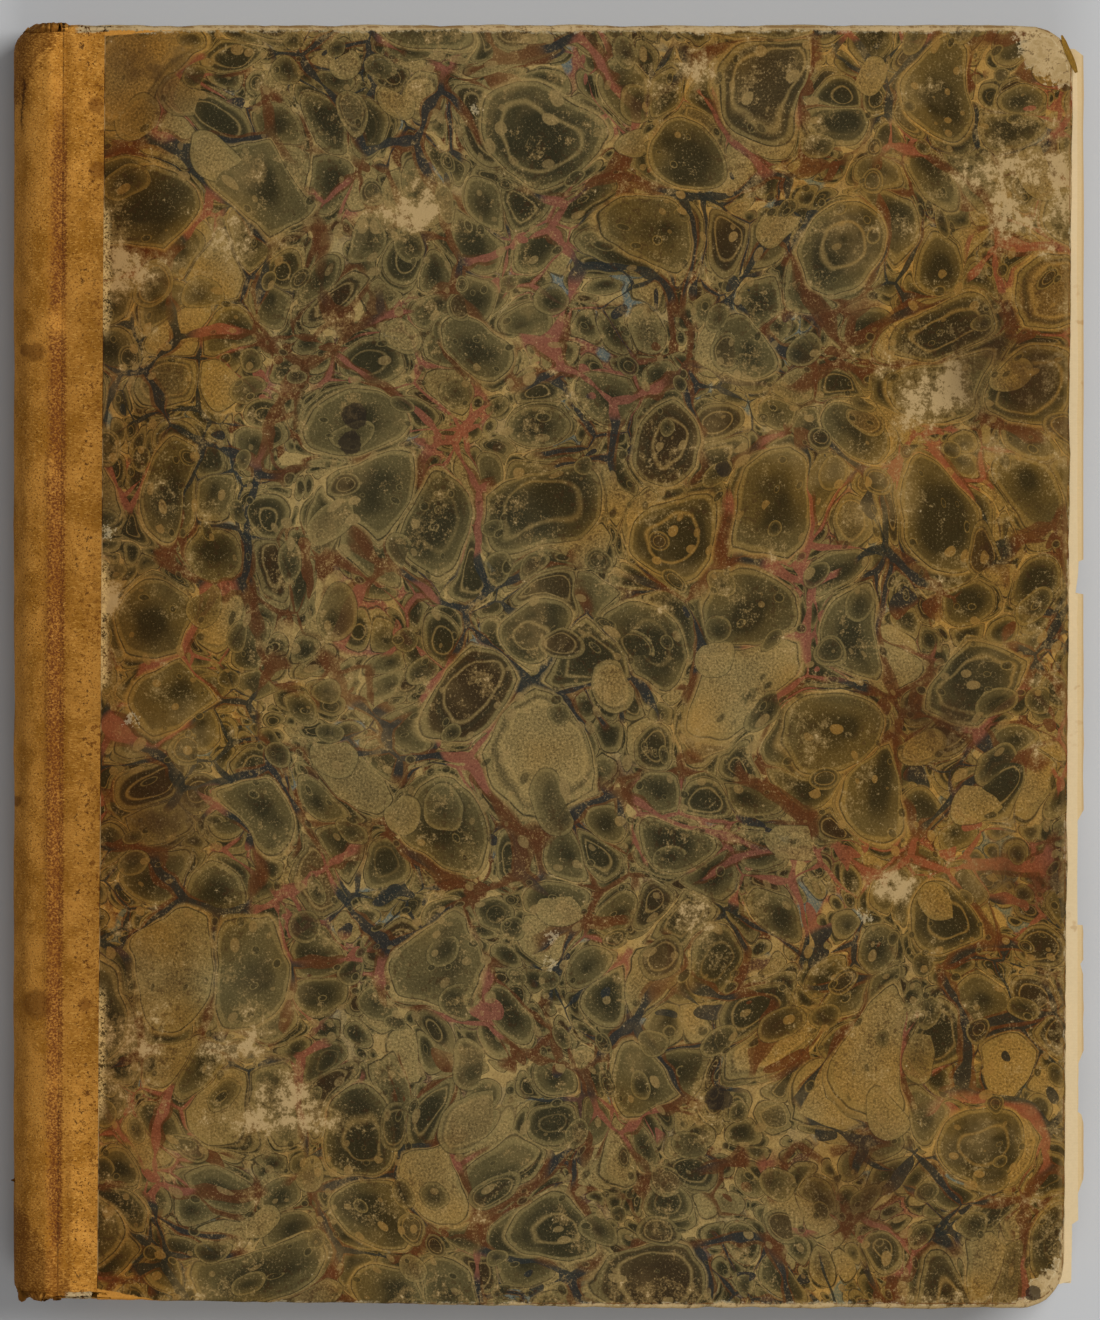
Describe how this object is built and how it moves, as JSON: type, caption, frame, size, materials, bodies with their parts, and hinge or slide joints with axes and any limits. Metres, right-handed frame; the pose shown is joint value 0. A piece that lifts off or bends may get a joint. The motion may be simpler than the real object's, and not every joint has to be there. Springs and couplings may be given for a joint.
{
  "type": "antique leather book",
  "caption": "Old hand-sewn book with a rounded tan leather spine, marbled paper sides, worn corners and uneven leaves past the front cover.",
  "frame": {"origin": "centre of the book's bounding box, at the bottom, on the outer face of the back cover", "axes": "+X from the spine towards the fore edge, +Y towards the head, +Z out of the front cover; the book lies shut on its back cover"},
  "size_m": [0.2064, 0.2468, 0.0266],
  "materials": {
    "leather": "worn suede calf, matt",
    "marbled_paper": "marbled, burnished and rubbed",
    "pasteboard": "bare, dusty",
    "endpaper": "matt laid paper, browned",
    "leaves": "matt laid paper, browned at the edges",
    "lining": "matt, glued",
    "cord": "twisted hemp",
    "thread": "waxed linen"
  },
  "bodies": {
    "back_cover": {"back_board": "pasteboard", "back_marbled_paper": "marbled_paper", "back_leather": "leather", "back_pastedown": "endpaper", "back_slip_head": "cord", "back_slip_middle": "cord", "back_slip_tail": "cord"},
    "text_block": {"text_block": "leaves", "spine_lining": "lining", "spine_leather": "leather", "sewing_cord_head": "cord", "sewing_cord_middle": "cord", "sewing_cord_tail": "cord", "kettle_stitch_head": "thread", "kettle_stitch_tail": "thread"},
    "front_cover": {"front_board": "pasteboard", "front_marbled_paper": "marbled_paper", "front_leather": "leather", "front_pastedown": "endpaper", "front_slip_head": "cord", "front_slip_middle": "cord", "front_slip_tail": "cord"}
  },
  "joints": [
    {"name": "back_joint", "type": "hinge", "parent": "back_cover", "child": "text_block", "pos_m": [-0.0936, 0, 0], "axis": [0, -1, 0], "range_deg": [0, 90]},
    {"name": "front_joint", "type": "hinge", "parent": "text_block", "child": "front_cover", "pos_m": [-0.0936, 0, 0.0266], "axis": [0, -1, 0], "range_deg": [0, 180]}
  ]
}
